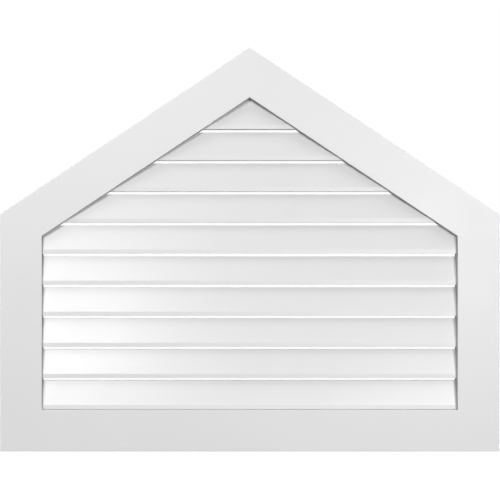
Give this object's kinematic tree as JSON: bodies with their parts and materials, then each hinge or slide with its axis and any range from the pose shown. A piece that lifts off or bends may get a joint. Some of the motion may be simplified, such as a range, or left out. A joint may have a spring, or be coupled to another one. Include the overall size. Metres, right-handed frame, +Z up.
{
  "type": "gable vent",
  "caption": "White peaked gable vent with a flat mitred frame and fixed sloping louvres, made to be fastened flat on a wall",
  "frame": {"origin": "middle of the bottom edge, halfway through the thickness of the frame", "axes": "+X runs to the viewer's right along the bottom edge, +Y runs through the vent towards the wall, +Z is up"},
  "size_m": [1.0668, 0.0254, 0.8636],
  "materials": {
    "frame_boards": "satin white cellular PVC board with eased front edges",
    "louvres": "satin white cellular PVC, planed smooth"
  },
  "bodies": {
    "root": {"bottom_rail": "frame_boards", "right_side": "frame_boards", "right_rake": "frame_boards", "left_rake": "frame_boards", "left_side": "frame_boards", "louvre_01": "louvres", "louvre_02": "louvres", "louvre_03": "louvres", "louvre_04": "louvres", "louvre_05": "louvres", "louvre_06": "louvres", "louvre_07": "louvres", "louvre_08": "louvres", "louvre_09": "louvres", "louvre_10": "louvres"}
  },
  "joints": []
}
